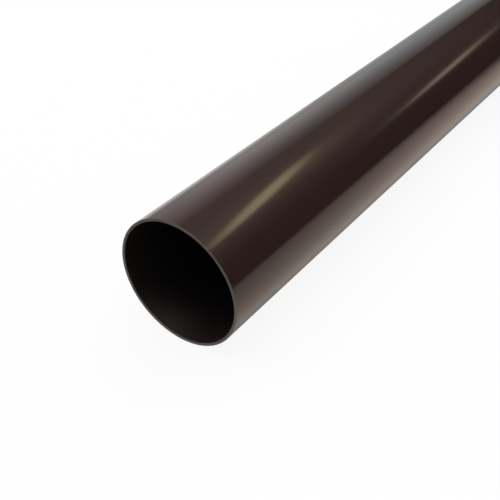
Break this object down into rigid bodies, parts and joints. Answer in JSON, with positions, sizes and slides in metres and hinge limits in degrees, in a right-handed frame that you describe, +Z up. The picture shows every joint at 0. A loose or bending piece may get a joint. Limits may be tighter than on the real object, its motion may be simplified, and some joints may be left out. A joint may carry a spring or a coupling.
{
  "type": "round downpipe",
  "caption": "Plain round rainwater downpipe of brown rigid PVC, cut square at both ends, carries water from a gutter to a drain.",
  "frame": {"origin": "on the floor, under the middle of the pipe's length and of its width", "axes": "+Z up; +X along the pipe's axis, from the end that the picture shows to the far end; +Y to the side"},
  "size_m": [2.5, 0.0678, 0.068],
  "materials": {
    "brown_upvc": "smooth extruded gloss, dark chocolate brown right through the wall"
  },
  "bodies": {
    "root": {"pipe": "brown_upvc"}
  },
  "joints": []
}
